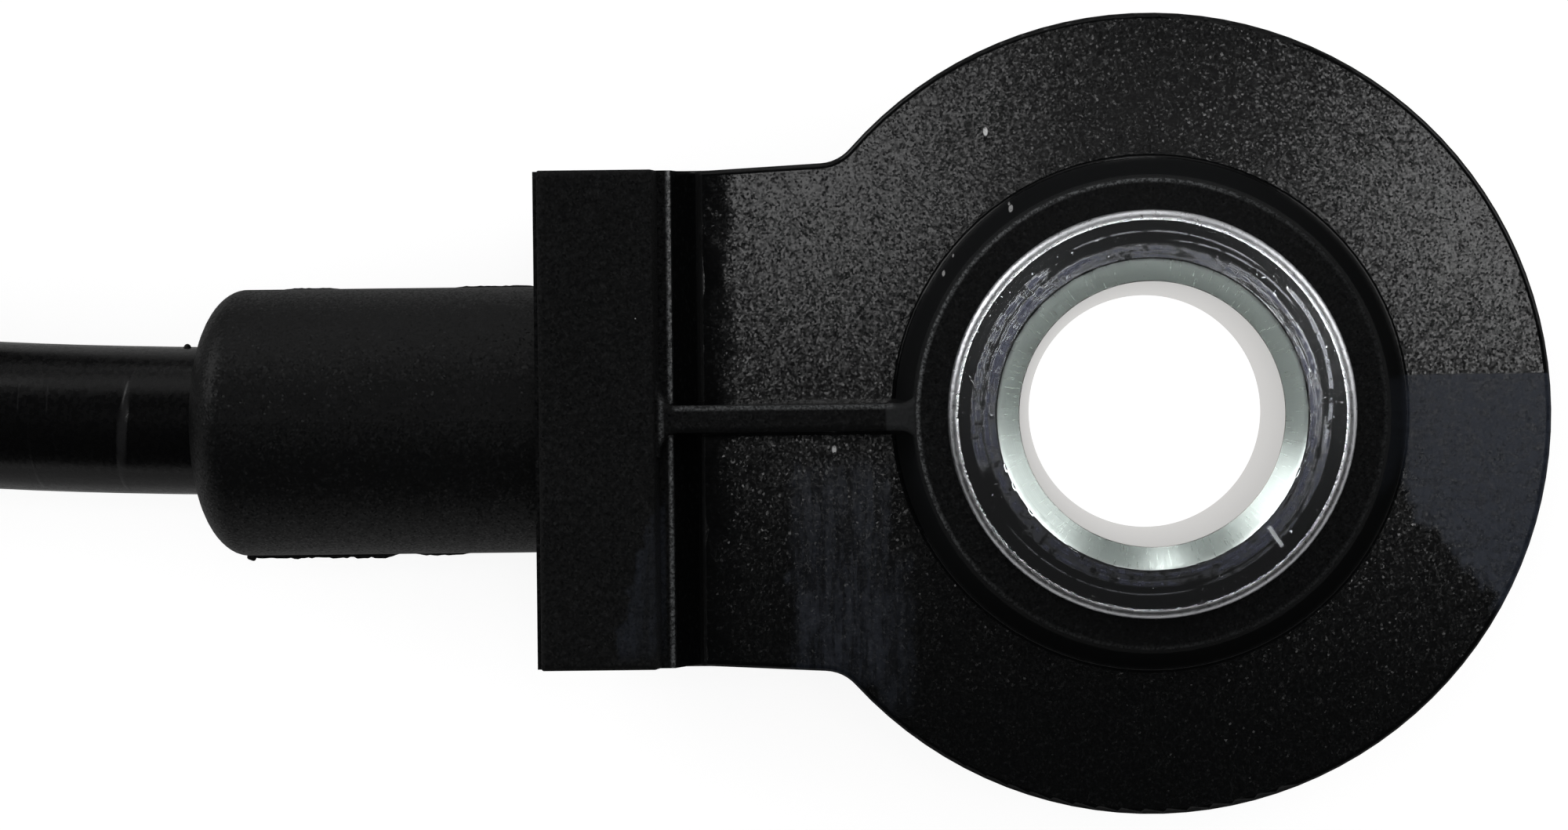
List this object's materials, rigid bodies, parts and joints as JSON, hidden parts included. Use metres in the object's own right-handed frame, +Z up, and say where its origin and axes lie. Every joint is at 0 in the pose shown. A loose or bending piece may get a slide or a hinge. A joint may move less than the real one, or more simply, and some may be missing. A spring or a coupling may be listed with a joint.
{
  "type": "engine knock sensor",
  "caption": "Ring-type engine knock sensor: steel sleeve for a bolt, moulded ring housing with a square block and a cable boss, short coiled cable and a sealed plug.",
  "frame": {"origin": "centre of the bolt bore at the seating face, the underside of the sleeve's flange", "axes": "+Z up along the bore, away from the engine block; the cable leaves the housing towards -X"},
  "size_m": [0.1134, 0.0746, 0.018],
  "materials": {
    "housing_plastic": "fine moulded grain, satin",
    "zinc_plated_steel": "turned and zinc plated, bright",
    "insulating_film": "smooth amber film",
    "contact_brass": "punched sheet, bright",
    "piezo_ceramic": "ground ceramic with silvered faces",
    "turned_steel": "turned",
    "spring_steel": "blued",
    "braid_copper": "tinned copper strands",
    "signal_core_plastic": "smooth",
    "return_core_plastic": "smooth",
    "cable_sheath": "smooth, lightly scuffed",
    "tie_plastic": "moulded",
    "boot_rubber": "moulded",
    "plug_plastic": "moulded",
    "lock_plastic": "moulded",
    "seal_silicone": "moulded silicone"
  },
  "bodies": {
    "root": {"housing": "housing_plastic", "sleeve": "zinc_plated_steel", "insulating_tube": "insulating_film", "lower_insulating_ring": "insulating_film", "upper_insulating_ring": "insulating_film", "lower_contact_disc": "contact_brass", "upper_contact_disc": "contact_brass", "piezo_ring": "piezo_ceramic", "seismic_mass": "turned_steel", "ring_nut": "turned_steel", "disc_spring": "spring_steel", "braid_end": "braid_copper", "signal_core_insulation": "signal_core_plastic", "return_core_insulation": "return_core_plastic", "signal_conductor": "braid_copper", "return_conductor": "braid_copper", "cable_lead": "cable_sheath", "cable_coil": "cable_sheath", "cable_tail": "cable_sheath", "coil_tie_1": "tie_plastic", "coil_tie_2": "tie_plastic", "plug_boot": "boot_rubber", "plug_housing": "plug_plastic", "plug_lock": "lock_plastic", "plug_signal_core": "signal_core_plastic", "plug_return_core": "return_core_plastic", "signal_wire_seal": "seal_silicone", "return_wire_seal": "seal_silicone", "signal_terminal": "contact_brass", "return_terminal": "contact_brass"}
  },
  "joints": []
}
